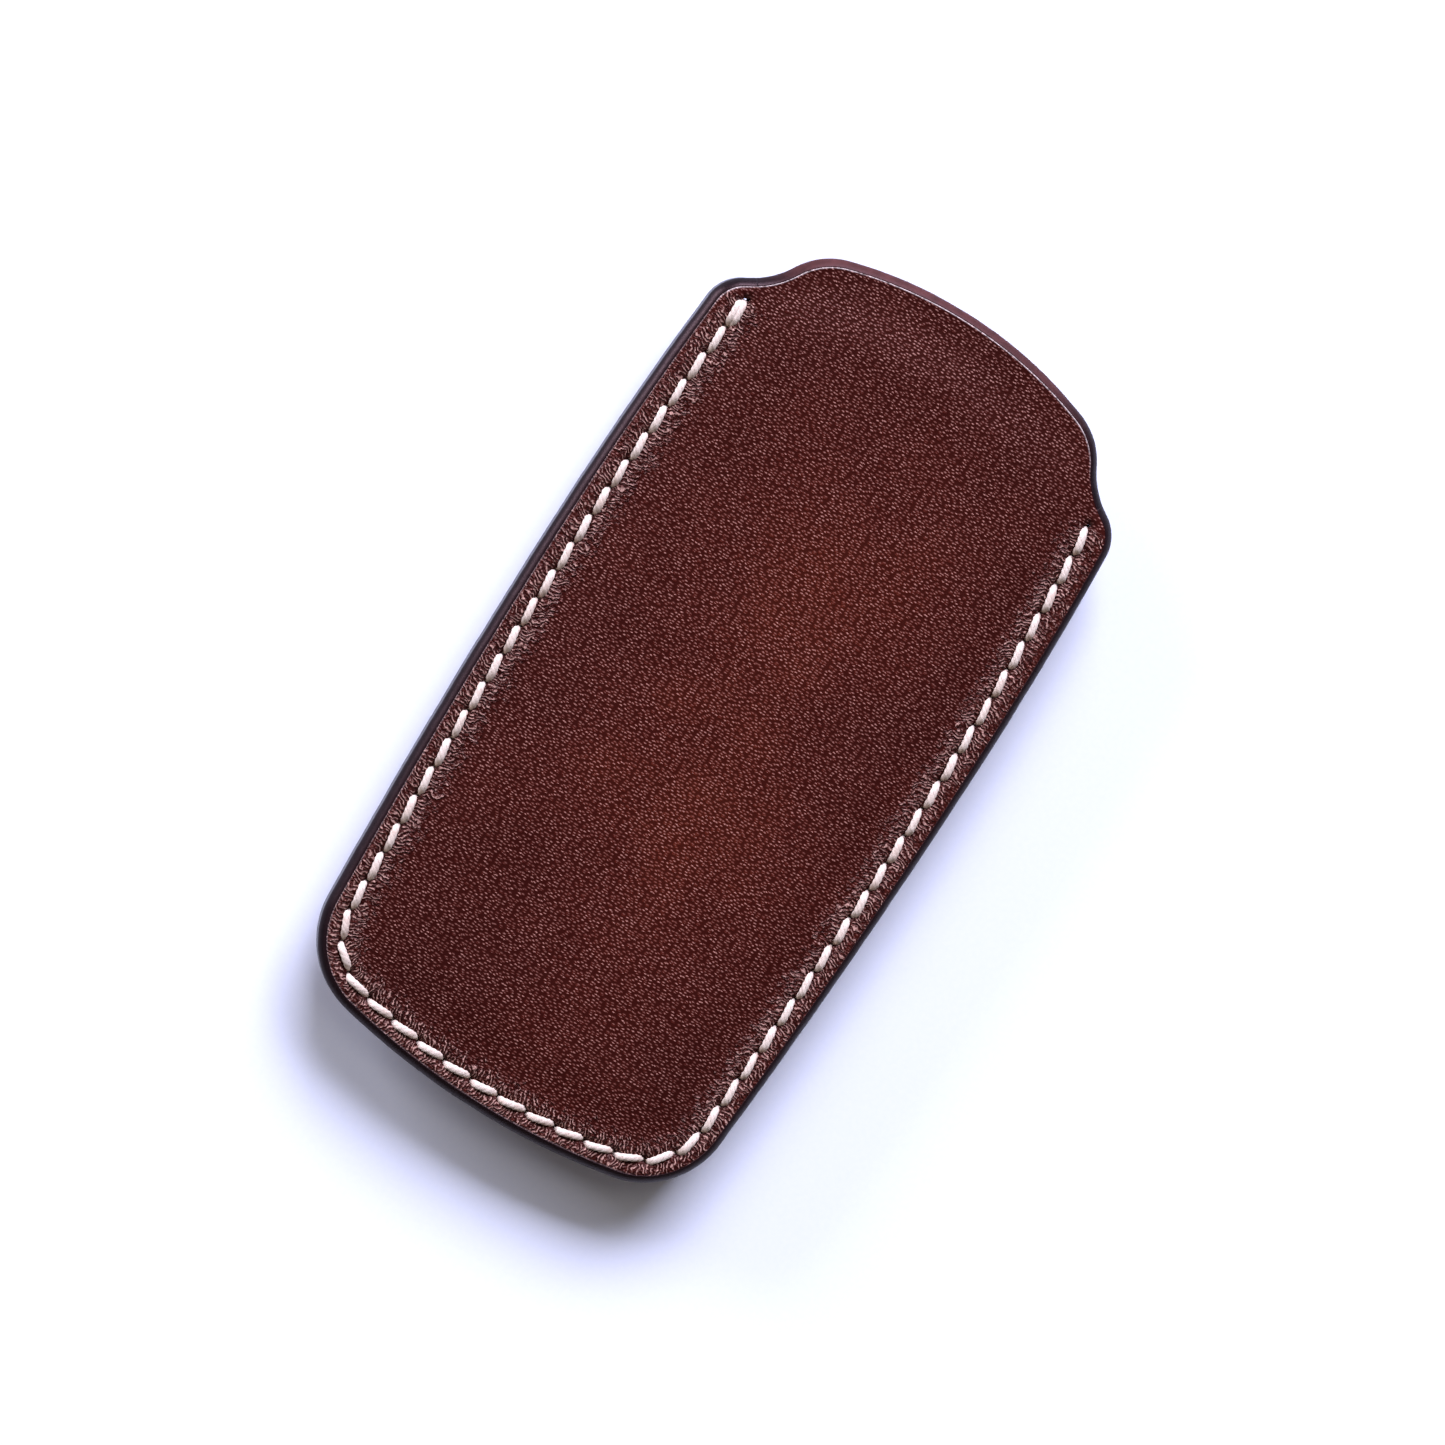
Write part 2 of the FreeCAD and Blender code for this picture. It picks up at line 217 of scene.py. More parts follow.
outline_circles = upper_circles() + lower_circles(0.0, 0.0, CORNER_RADIUS)
outline, outline_normals = with_left_half(*trace(outline_circles, UP, -UP, OUTLINE_STEP), True)
coarse_outline = with_left_half(*trace(outline_circles, UP, -UP, COARSE_OUTLINE_STEP), True)[0]


def inset_outline(inset):
    return outline - inset * outline_normals


def distance_to(points, line, chunk=2500):
    """The distance from each point to a polyline, and where along the line its nearest point is."""
    ax, ay = line[:-1].T
    dx, dy = (line[1:] - line[:-1]).T
    square = dx ** 2 + dy ** 2
    length = np.sqrt(square)
    run = np.concatenate([[0.0], np.cumsum(length)[:-1]])
    gaps = []
    places = []
    for i in range(0, len(points), chunk):
        px = points[i:i + chunk, :1] - ax
        py = points[i:i + chunk, 1:] - ay
        t = np.clip((px * dx + py * dy) / square, 0, 1)
        gap = (px - t * dx) ** 2 + (py - t * dy) ** 2
        best = gap.argmin(1)
        rows = np.arange(len(best))
        gaps.append(np.sqrt(gap[rows, best]))
        places.append(run[best] + t[rows, best] * length[best])
    return np.concatenate(gaps), np.concatenate(places)


def closed(loop):
    return np.vstack([loop, loop[:1]])


def inset_of(points):
    """How far points lie from the case's outline."""
    return distance_to(points, closed(coarse_outline))[0]


def unit(vector):
    return vector / np.linalg.norm(vector)


def run_of(line):
    """How far along a polyline each of its points lies."""
    return np.concatenate([[0.0], np.cumsum(np.linalg.norm(np.diff(line, axis=0), axis=1))])


def smooth_step(t):
    t = np.clip(t, 0, 1)
    return t * t * (3 - 2 * t)


def bell(gap, width):
    """1 where the gap is 0, falling smoothly to 0 over about twice the width."""
    return np.exp(-(gap / width) ** 2)


# ---- the seam ----

seam_side = side_circle(UPPER_SIDE_RADIUS, SEAM_INSET, SEAM_WIDEST_Y)
seam_top = math.asin((SEAM_START_Y - SEAM_WIDEST_Y) / seam_side[2])
seam_circles = [seam_side] + lower_circles(
    SEAM_INSET, SEAM_INSET_BOTTOM, SEAM_CORNER_RADIUS, SEAM_WIDEST_Y
)
seam_line, seam_normals = with_left_half(*trace(seam_circles, seam_top, -UP, SEAM_STEP), False)
seam_line = seam_line[::-1]
seam_normals = seam_normals[::-1]
seam_run = run_of(seam_line)
coarse_seam = with_left_half(*trace(seam_circles, seam_top, -UP, COARSE_SEAM_STEP), False)[0][::-1]
PITCH = seam_run[-1] / STITCH_COUNT


def on_seam(run, values):
    """The seam's points or normals at some way along it."""
    return np.stack([np.interp(run, seam_run, values[:, k]) for k in range(2)], -1)


hole_run = np.arange(STITCH_COUNT + 1) * PITCH
holes = on_seam(hole_run, seam_line)
hole_normals = on_seam(hole_run, seam_normals)
headings = np.arctan2(hole_normals[:, 1], hole_normals[:, 0]) + UP
slit_angles = headings - SLIT_SLANT
slit_directions = np.stack([np.cos(slit_angles), np.sin(slit_angles)], -1)


def slit_loop(i, length, width, shift=0.0, count=12):
    """A pointed oval round hole i, shifted along itself."""
    t = np.arange(count) * 2 * math.pi / count
    along = length / 2 * np.cos(t)
    across = width / 2 * np.sin(t) * np.abs(np.sin(t)) ** 0.3
    u = slit_directions[i]
    v = np.array([-u[1], u[0]])
    return holes[i] + (along[:, None] + shift) * u + across[:, None] * v


# ---- distances over the panel ----

def inside(points, loop, chunk=4000):
    """Which points lie within a closed loop."""
    a = loop
    b = np.roll(loop, -1, axis=0)
    found = []
    for i in range(0, len(points), chunk):
        x = points[i:i + chunk, None, 0]
        y = points[i:i + chunk, None, 1]
        spans = (a[:, 1] > y) != (b[:, 1] > y)
        rise = np.where(a[:, 1] == b[:, 1], 1.0, b[:, 1] - a[:, 1])
        cut = a[:, 0] + (y - a[:, 1]) / rise * (b[:, 0] - a[:, 0])
        found.append(((spans & (x < cut)).sum(1) % 2).astype(bool))
    return np.concatenate(found)


def bulge_line():
    """Where the pocket side's bulge starts: down the right, round the bottom and up past the mouth."""
    side = side_circle(UPPER_SIDE_RADIUS, BULGE_START)
    start = math.asin((TOP + BULGE_PAST_TOP - WIDEST_Y) / side[2])
    circles = [side] + lower_circles(BULGE_START, BULGE_START_BOTTOM, BULGE_CORNER)
    return with_left_half(*trace(circles, start, -UP, FIELD_STEP), False)[0]


def board_line():
    """The stiffening board's outline: the same barrel, closed by an arch."""
    top = (0.0, TOP - BOARD_TOP_INSET - BOARD_TOP_RADIUS, BOARD_TOP_RADIUS, 1)
    side = side_circle(UPPER_SIDE_RADIUS, BULGE_START)
    corner = corner_in(top, side, BOARD_TOP_CORNER - BULGE_START)
    circles = [top, corner, side] + lower_circles(BULGE_START, BULGE_START, BULGE_CORNER)
    return with_left_half(*trace(circles, UP, -UP, FIELD_STEP), True)[0]


bulge_edge = bulge_line()
board_edge = board_line()


def depth_within(points, line, loop):
    """How far points lie inside a line that closes into a loop: 0 outside it."""
    return np.where(inside(points, loop), distance_to(points, line)[0], 0.0)


def value_noise(points, cell, seed, size=256):
    """Smooth noise between -1 and 1, with one random value every cell."""
    grid = np.random.default_rng(seed).uniform(-1, 1, (size, size))
    place = points / cell + size / 2
    low = np.floor(place).astype(int)
    f = smooth_step(place - low)
    x0, y0 = low[:, 0] % size, low[:, 1] % size
    x1, y1 = (x0 + 1) % size, (y0 + 1) % size
    near = grid[x0, y0] * (1 - f[:, 0]) + grid[x1, y0] * f[:, 0]
    far = grid[x0, y1] * (1 - f[:, 0]) + grid[x1, y1] * f[:, 0]
    return near * (1 - f[:, 1]) + far * f[:, 1]


# ---- meshes ----

def add_object(name, data):
    made = bpy.data.objects.new(name, data)
    bpy.context.scene.collection.objects.link(made)
    return made



def make_piece(name, points, faces, marks, material):
    """A closed mesh from points in millimetres, shaded smooth, with its faces turned outwards."""
    mesh = bpy.data.meshes.new(name)
    mesh.from_pydata((np.asarray(points) * MM).tolist(), [], faces)
    mesh.update()
    work = bmesh.new()
    work.from_mesh(mesh)
    bmesh.ops.recalc_face_normals(work, faces=work.faces)
    work.to_mesh(mesh)
    work.free()
    mesh.shade_smooth()
    for key, values in marks.items():
        attribute = mesh.attributes.new(key, "FLOAT", "POINT")
        attribute.data.foreach_set("value", np.asarray(values, np.float32))
    mesh.materials.append(material)
    return add_object(name, mesh)


def triangulate(loops, fill):
    """Triangles between an outer loop and the holes in it, over all the points given.

    Those that span a hole, or a hollow of the outer loop, are dropped."""
    points = np.vstack(loops + [fill])
    edges = []
    owner = np.full(len(points), -1)
    first = 0
    for k, loop in enumerate(loops):
        n = len(loop)
        edges += [(first + i, first + (i + 1) % n) for i in range(n)]
        owner[first:first + n] = k
        first += n
    vectors = [Vector(p) for p in points.tolist()]
    result = delaunay_2d_cdt(vectors, edges, [], 1, 1e-9, True)
    source = np.array([ids[0] for ids in result[3]])
    faces = source[np.array(result[2])]
    kinds = owner[faces]
    same = (kinds[:, 0] == kinds[:, 1]) & (kinds[:, 0] == kinds[:, 2])
    keep = ~(same & (kinds[:, 0] > 0))
    at_rim = np.nonzero(same & (kinds[:, 0] == 0))[0]
    keep[at_rim[~inside(points[faces[at_rim]].mean(1), loops[0])]] = False
    return points, faces[keep]


def loop_walls(rows):
    """Triangles between index loops of equal length."""
    faces = []
    for a, b in zip(rows, rows[1:]):
        a2, b2 = np.roll(a, -1), np.roll(b, -1)
        faces.append(np.stack([a, b, b2], 1))
        faces.append(np.stack([a, b2, a2], 1))
    return np.vstack(faces)


def sheet_piece(name, rim, openings, top_fill, low_fill, top, low, material):
    """A closed sheet between two surfaces, which give heights and marks.

    rim holds the rows of its edge, (loop, heights), from its top to its underside."""
    top_points, top_faces = triangulate([rim[0][0]] + openings, top_fill)
    low_points, low_faces = triangulate([rim[-1][0]] + openings, low_fill)
    z_top, top_marks = top(top_points)
    z_low, low_marks = low(low_points)
    n = len(rim[0][0])
    z_top[:n] = rim[0][1]
    z_low[:n] = rim[-1][1]
    blocks = [np.column_stack([top_points, z_top]), np.column_stack([low_points, z_low])]
    faces = [top_faces, low_faces[:, ::-1] + len(top_points)]
    first_low = len(top_points)
    total = first_low + len(low_points)
    rows = [np.arange(n)]
    for loop, heights in rim[1:-1]:
        blocks.append(np.column_stack([loop, heights]))
        rows.append(np.arange(total, total + n))
        total += n
    rows.append(np.arange(first_low, first_low + n))
    faces.append(loop_walls(rows))
    start = n
    for opening in openings:
        ring = np.arange(start, start + len(opening))
        faces.append(loop_walls([ring, ring + first_low]))
        start += len(opening)
    points = np.vstack(blocks)
    marks = {}
    for key in sorted({*top_marks, *low_marks}):
        marks[key] = np.zeros(len(points))
        marks[key][:first_low] = top_marks.get(key, 0.0)
        marks[key][first_low:first_low + len(low_points)] = low_marks.get(key, 0.0)
    return make_piece(name, points, np.vstack(faces).tolist(), marks, material)


def sweep(path, normals, section, bulge):
    """Rings of a section (inset, height, share of the bulge) carried along a path."""
    rings = []
    for p, n, extra in zip(path, normals, bulge):
        ring = np.empty((len(section), 3))
        ring[:, :2] = p - (section[:, :1] - extra * section[:, 2:3]) * n
        ring[:, 2] = section[:, 1]
        rings.append(ring)
    return np.array(rings)


def tube_faces(count, size, first=0):
    """Quads round a tube of count rings of size points, with a fan over each end."""
    faces = []
    for i in range(count - 1):
        for j in range(size):
            a = first + i * size + j
            b = first + i * size + (j + 1) % size
            faces.append((a, b, b + size, a + size))
    faces.append(tuple(first + j for j in range(size))[::-1])
    faces.append(tuple(first + (count - 1) * size + j for j in range(size)))
    return faces

# ---- surfaces of the two panels, over points (x, y) ----

CREASES_PER_FAN = 5
CREASE_SPACING = 0.62
CREASE_POINTS = 14
CREASE_REACH = 4.2
crease_rng = np.random.default_rng(23)


def crease_field(points, near_seam):
    """The height of the puckers that fan out from the stitch holes."""
    height = np.zeros(len(points))
    for i, hole in enumerate(holes):
        index = np.nonzero(near_seam & (np.abs(points - hole).max(1) < CREASE_REACH))[0]
        out = hole_normals[i]
        ahead = np.array([-out[1], out[0]])
        for side in (-1, 1):
            strength = (1.0 if side < 0 else 0.7) * (1.0 if hole[0] > 0 else 0.75)
            for k in range(CREASES_PER_FAN):
                offset = (k - (CREASES_PER_FAN - 1) / 2) * CREASE_SPACING + crease_rng.normal(0, 0.12)
                fan = 0.30 * offset * (-side) + crease_rng.normal(0, 0.14)
                bend = crease_rng.normal(0.25, 0.15) * side
                length = crease_rng.uniform(1.3, 2.5) * (1.0 if side < 0 else 0.75)
                depth = strength * crease_rng.uniform(0.5, 1.1)
                if len(index) == 0:
                    continue
                turn = fan + bend * np.linspace(0, 1, CREASE_POINTS)
                angle = math.atan2(out[1] * side, out[0] * side) + turn
                step = np.column_stack([np.cos(angle), np.sin(angle)]) * length / (CREASE_POINTS - 1)
                start = hole + ahead * (0.5 + offset) + out * side * 0.42
                gap, run = distance_to(points[index], start + np.cumsum(step, axis=0))
                fade = np.clip(1 - run / length, 0, 1) ** 0.6 * smooth_step(run / 0.25 + 0.3)
                groove = -0.060 * bell(gap, 0.12) + 0.034 * bell(gap - 0.27, 0.13)
                height[index] += depth * fade * groove
    return height


def hole_gap(points):
    """The distance to the nearest stitch hole."""
    gaps = np.full(len(points), 1e9)
    for hole in holes:
        gaps = np.minimum(gaps, np.hypot(*(points - hole).T))
    return gaps


def outside_seam(points, run):
    """1 for points outside the seam, towards the edge, and -1 for those within it."""
    from_seam = points - on_seam(run, seam_line)
    return np.sign((from_seam * on_seam(run, seam_normals)).sum(1))


def sag(points):
    """Slow unevenness of the leather."""
    return 0.05 * value_noise(points, 23.0, 1) + 0.022 * value_noise(points, 7.0, 2)


FAR = 9.0


def seam_marks(points, gap, run):
    """The way along the seam, the distance across it, which is far past its ends, and nearness to a hole,
    which darkens the leather as painted shade.
    """
    beside = (run > 0) & (run < seam_run[-1] - 0.1)
    return {
        "run": run,
        "across": np.where(beside, gap, np.maximum(gap, FAR)),
        "hole": bell(hole_gap(points), 0.7),
    }


# A painted highlight along the leather just inside the edge coat: how far past the coat's rim it lies, and
# how it fades out to the right and away from the mouth.
RIM_HIGHLIGHT_INSET = 0.09
RIM_HIGHLIGHT_END_X = 26.0
RIM_HIGHLIGHT_END_DROP = 7.5


def back_top(points):
    """The back panel's outer face: raised over the board, drawn down along the seam and into each hole."""
    inset = inset_of(points)
    gap, run = distance_to(points, coarse_seam)
    side = outside_seam(points, run)
    board = depth_within(points, closed(board_edge), board_edge)
    crown = BOARD * smooth_step(board / BOARD_SKIVE)
    valley = -0.24 * bell(gap, 0.85)
    pull = -0.22 * bell(hole_gap(points), 0.75)
    margin = smooth_step((inset - RIM_INSET) / 0.6) * smooth_step((gap - 0.3) / 1.0)
    roll = 0.10 * margin * np.where(side > 0, 1, bell(gap, 3.0))
    ridge = 0.03 * bell(inset - RIM_INSET - 0.22, 0.16)
    puckers = 0.030 * value_noise(points, 0.85, 5) * margin * (side > 0)
    rim = smooth_step((inset - RIM_INSET) / 2.0)
    creases = crease_field(points, gap < 3.2)
    height = Z_RIM + crown + valley + pull + roll + ridge + puckers + rim * sag(points) + creases
    # The rim mark: a painted highlight along the leather's edge, strongest on the left towards the mouth.
    line = bell(inset - RIM_INSET - RIM_HIGHLIGHT_INSET, 0.07)
    line *= smooth_step((RIM_HIGHLIGHT_END_X - points[:, 0]) / 6.0)
    line *= 0.2 + 0.8 * smooth_step((points[:, 1] - MOUTH_Y + RIM_HIGHLIGHT_END_DROP) / 5.0)
    margin = np.where(side > 0, smooth_step((gap - 0.2) / 0.6), 0.0)
    return height, {**seam_marks(points, gap, run), "rim": line, "margin": margin}


def back_low(points):
    """The leather's flesh side, over the board."""
    board = depth_within(points, closed(board_edge), board_edge)
    return Z_BACK_LEATHER + BOARD * np.clip(board / BOARD_SKIVE, 0, 1), {}


def formed(points):
    """How far the formed pocket side has come down, from 0 at its flange to 1 on the floor."""
    t = np.clip(depth_within(points, bulge_edge, bulge_edge) / BULGE_RUN, 0, 1)
    return 0.45 * t + 0.55 * smooth_step(t)


def front_surface(height):
    """One face of the front panel, which is this height above the floor at its lowest."""
    def surface(points):
        down = formed(points)
        uneven = 0.03 * (1 + value_noise(points, 9.0, 7)) * np.clip(4 * (1 - down), 0, 1)
        gap, run = distance_to(points, coarse_seam)
        inset = inset_of(points)
        # The rim mark lays a faint painted highlight along the panel's edge.
        rim = 0.3 * bell(inset - RIM_INSET, 0.2)
        margin = 0.5 * bell(gap, 2.0)
        marks = {**seam_marks(points, gap, run), "rim": rim, "margin": margin}
        return height + Z_FRONT * (1 - down) + uneven, marks
    return surface


# ---- edges of the panels ----

lower_part = np.nonzero(outline[:, 1] <= MOUTH_Y)[0]
upper_part = np.nonzero(outline[:, 1] > MOUTH_Y)[0]
split = np.nonzero(np.diff(upper_part) > 1)[0][0] + 1
upper_part = np.concatenate([upper_part[split:], upper_part[:split]])

# Where the right side of the outline crosses the mouth's height, and its normal there.
above, below = outline[lower_part[0] - 1], outline[lower_part[0]]
MOUTH_END = above[0] + (below[0] - above[0]) * (above[1] - MOUTH_Y) / (above[1] - below[1])
mouth_normal = unit(outline_normals[lower_part[0]] + outline_normals[lower_part[0] - 1])


def path_with_ends(indices):
    """Part of the outline, brought exactly to the mouth's height at both of its ends."""
    sides = np.sign(outline[indices[[0, -1]], 0])
    ends = np.column_stack([sides * MOUTH_END, np.full(2, MOUTH_Y)])
    end_normals = np.column_stack([sides * mouth_normal[0], np.full(2, mouth_normal[1])])
    points = np.vstack([ends[:1], outline[indices], ends[1:]])
    normals = np.vstack([end_normals[:1], outline_normals[indices], end_normals[1:]])
    return points, normals


lower_path, lower_normals = path_with_ends(lower_part)
upper_path, upper_normals = path_with_ends(upper_part)


def mouth_half(offset, end_x):
    """The right half of the mouth line, from its outer end to the middle of the thumb notch."""
    entry = (NOTCH_HALF_WIDTH + NOTCH_ENTRY_RADIUS, MOUTH_Y - NOTCH_ENTRY_RADIUS)
    count = math.ceil((MOUTH_END - entry[0]) / MOUTH_STEP)
    x = np.linspace(end_x, entry[0], count + 1)[:-1]
    straight = np.column_stack([x, np.full(count, MOUTH_Y - offset)])
    corner = [entry + (NOTCH_ENTRY_RADIUS - offset, 1)]
    corner_points, corner_normals = trace(corner, UP, math.pi, MOUTH_STEP)
    bowl_y = MOUTH_Y - NOTCH_DEPTH + NOTCH_HALF_WIDTH
    bowl = [(0.0, bowl_y, NOTCH_HALF_WIDTH + offset, -1)]
    bowl_points, bowl_normals = trace(bowl, math.pi, UP, MOUTH_STEP)
    wall_top = corner_points[-1][1]
    y = np.linspace(wall_top, bowl_y, math.ceil((wall_top - bowl_y) / MOUTH_STEP) + 1)[1:-1]
    wall = np.column_stack([np.full(len(y), NOTCH_HALF_WIDTH + offset), y])
    straight_normals = np.tile([0.0, 1.0], (count, 1))
    wall_normals = np.tile([-1.0, 0.0], (len(y), 1))
    points = np.vstack([straight, corner_points, wall, bowl_points])
    normals = np.vstack([straight_normals, corner_normals, wall_normals, bowl_normals])
    return points, normals


def mouth_line(offset, end_x):
    """The whole mouth line, from right to left."""
    return with_left_half(*mouth_half(offset, end_x), False)


# ---- the pieces ----

def hex_grid(spacing):
    """Points on a triangular lattice over the whole panel."""
    rows = []
    for k, y in enumerate(np.arange(BOTTOM, TOP, spacing * math.sqrt(3) / 2)):
        x = np.arange(-HALF_WIDTH + (k % 2) * spacing / 2, HALF_WIDTH, spacing)
        rows.append(np.column_stack([x, np.full(len(x), y)]))
    return np.vstack(rows)


SEAM_TAIL = 11
BAND_IN = 2.56
BAND_OUT = 2.5


def seam_band():
    """Rows of points along both sides of the seam, staggered, past both of its ends."""
    tail = np.arange(1, SEAM_TAIL + 1)[:, None] * SEAM_STEP
    first = seam_line[0] - unit(seam_line[1] - seam_line[0]) * tail
    last = seam_line[-1] + unit(seam_line[-1] - seam_line[-2]) * tail
    line = np.vstack([first[::-1], seam_line, last])
    normals = np.pad(seam_normals, ((SEAM_TAIL, SEAM_TAIL), (0, 0)), "edge")
    rows = []
    for k, offset in enumerate(np.arange(-BAND_IN, BAND_OUT, SEAM_STEP)):
        middle = (line[1:] + line[:-1]) / 2 if k % 2 else line
        middle_normals = (normals[1:] + normals[:-1]) / 2 if k % 2 else normals
        rows.append(middle + offset * middle_normals)
    return np.vstack(rows)


def clear_of(points, loops, gap):
    """Points that keep a gap from every loop."""
    keep = np.ones(len(points), bool)
    for loop in loops:
        centre = loop.mean(0)
        reach = np.abs(loop - centre).max() + gap
        near = np.nonzero(np.abs(points - centre).max(1) < reach)[0]
        if len(near):
            found = distance_to(points[near], closed(loop))[0] < gap
            keep[near[found | inside(points[near], loop)]] = False
    return points[keep]


# The first slit holds two strands, and the last one ends the seam.
slits = [slit_loop(i, SLIT_LENGTH, SLIT_WIDTH) for i in range(len(holes))]
slits[0] = slit_loop(0, 1.3 * SLIT_LENGTH, 1.2 * SLIT_WIDTH, 0.15)
slits[-1] = slit_loop(len(holes) - 1, 0.8 * SLIT_LENGTH, SLIT_WIDTH, -0.22)


RIM_ROWS = (0.09, 0.18, 0.28, 0.42)
FLANK_SPACING = 0.42
FLANK_REACH = 4.4


def lattice(spacing):
    """A lattice over the back panel, with its distances from the edge and the seam."""
    points = hex_grid(spacing)
    points = points[inside(points, coarse_outline)]
    return points, inset_of(points), distance_to(points, coarse_seam)[0]


def back_fill(spacing, fine):
    """Points over the back panel. Where it is fine, they also follow the rim and crowd round the seam."""
    points, inset, gap = lattice(spacing)
    blocks = [points[(inset > RIM_INSET + 0.9) & (gap > (BAND_IN + 0.04 if fine else 0.0))]]
    if fine:
        band = seam_band()
        inset = inset_of(band)
        blocks.append(band[(inset > RIM_INSET + 0.55) & inside(band, coarse_outline)])
        blocks += [inset_outline(RIM_INSET + extra) for extra in RIM_ROWS]
        points, inset, gap = lattice(FLANK_SPACING)
        blocks.append(points[(inset > RIM_INSET + 0.6) & (gap > BAND_IN + 0.06) & (gap < FLANK_REACH)])
    return clear_of(np.vstack(blocks), slits, 0.07)


def make_back_leather(material):
    """The large outer panel, bevelled above towards its edge coats."""
    rim = []
    for share in (0.0, 0.5, 1.0):
        loop = inset_outline(RIM_INSET - BEVEL * share)
        rim.append((loop, np.full(len(loop), Z_RIM - BEVEL * share)))
    rim.append((loop, np.full(len(loop), Z_BACK_LEATHER)))
    fill = back_fill(0.9, True)
    low_fill = back_fill(2.5, False)
    return sheet_piece("back_leather_panel", rim, slits, fill, low_fill, back_top, back_low, material)


def make_back_lining(material):
    """Flush with the leather round the arch, bevelled below where nothing lies under it."""
    n = len(outline)
    rim = [
        (inset_outline(COAT), np.full(n, Z_BACK_LEATHER)),
        (inset_outline(COAT), np.full(n, (Z_PARTING + Z_BACK_LEATHER) / 2)),
        (inset_outline(RIM_INSET), np.full(n, Z_PARTING)),
    ]
    fill = back_fill(1.6, False)
    flat = np.vstack([back_fill(1.0, False), inset_outline(RIM_INSET + 0.5)])

    def top(points):
        return np.full(len(points), Z_BACK_LEATHER), {}

    def low(points):
        inset = inset_of(points)
        return Z_PARTING + 0.03 * value_noise(points, 6.0, 9) * smooth_step((inset - 2) / 3), {}

    return sheet_piece("back_lining_panel", rim, slits, fill, flat, top, low, material)


def front_loop(inset, offset):
    """The front panel's edge: down the right side, round the bottom, up the left, along the mouth."""
    mouth = mouth_line(offset, MOUTH_END - inset)[0]
    return np.vstack([inset_outline(inset)[lower_part], mouth[::-1]])


def front_fill(spacing):
    """Points over the front panel."""
    points = hex_grid(spacing)
    loop = front_loop(RIM_INSET + 0.35, COAT + 0.35)
    return clear_of(points[inside(points, loop)], slits, 0.15)


def make_front_panel(name, height, thickness, bevel_below, material):
    """One layer of the front panel: height is how far its underside lies above the pocket's floor."""
    low_inset = RIM_INSET if bevel_below else COAT
    low = front_surface(height)
    top = front_surface(height + thickness)
    outer = front_loop(COAT, COAT)
    under = front_loop(low_inset, COAT)
    z_top = top(outer)[0]
    rim = [(outer, z_top), (outer, (z_top + low(outer)[0]) / 2), (under, low(under)[0])]
    return sheet_piece(name, rim, slits, front_fill(1.1), front_fill(0.8), top, low, material)


def make_front_leather(material):
    """The pocket's outer leather, bevelled below towards its edge coat."""
    return make_front_panel("front_leather_panel", 0.0, Z_FRONT_LINING - Z_FRONT, True, material)


def make_front_lining(material):
    thickness = Z_PARTING - Z_FRONT_LINING
    return make_front_panel("front_lining_panel", LEATHER, thickness, False, material)


FLATNESS = 1.45
LAP = 0.03
CREST = 0.035


def dome_section(z_low, z_high, steps=9):
    """A coat's section (inset, height, share of unevenness): domed outside, bevelled inside."""
    def dome(share, z_edge, up, crest):
        angle = UP * share
        out = max(math.cos(angle), 0.0) ** FLATNESS
        rise = EDGE_ROUND * (math.sin(angle) ** FLATNESS - 1) + crest * math.sin(angle) ** 8
        return RIM_INSET + LAP - (EDGE_ROUND + LAP) * out, z_edge + up * rise, out

    section = [dome(1 - k / steps, z_high, 1, CREST) for k in range(steps + 1)]
    flat_inset = section[-1][0]
    flat = z_high - z_low - 2 * EDGE_ROUND
    for k in range(1, 4):
        section.append((flat_inset + (CREST if k == 2 else 0.0), z_high - EDGE_ROUND - flat * k / 4, 1.0))
    section += [dome(k / steps, z_low, -1, 0.02) for k in range(steps + 1)]
    section.append((COAT + 0.02, z_low + BEVEL, 0.0))
    section.append((COAT + 0.02, z_high - BEVEL, 0.0))
    return np.array(section)


def make_edge_coat(name, path, normals, section, material):
    """A coat of edge paint along a path, slightly uneven as it is when put on by hand."""
    uneven = 0.035 * value_noise(path, 4.0, 12) + 0.015 * value_noise(path, 1.1, 13)
    rings = sweep(path, normals, section, np.minimum(uneven, 0.02))
    count, size = rings.shape[:2]
    points = rings.reshape(-1, 3)
    level = np.tile((section[:, 1] - section[:, 1].min()) / np.ptp(section[:, 1]), count)
    # Where the arch faces the window light, more on its left: there the coat's colour turns brown as painted
    # light, and the paint is made duller.
    arch = smooth_step((points[:, 1] - MOUTH_Y + 1.0) / 8.0)
    arch *= smooth_step((25.0 - points[:, 0]) / 14.0)
    return make_piece(name, points, tube_faces(count, size), {"level": level, "arch": arch}, material)


def make_body_coat(material):
    """The coat over the whole sewn edge."""
    section = dome_section(Z_FRONT, Z_RIM)
    return make_edge_coat("body_edge_coat", lower_path, lower_normals, section, material)


def make_arch_coat(material):
    """The coat over the arch, where the back panel is on its own."""
    section = dome_section(Z_PARTING, Z_RIM)
    return make_edge_coat("arch_edge_coat", upper_path, upper_normals, section, material)


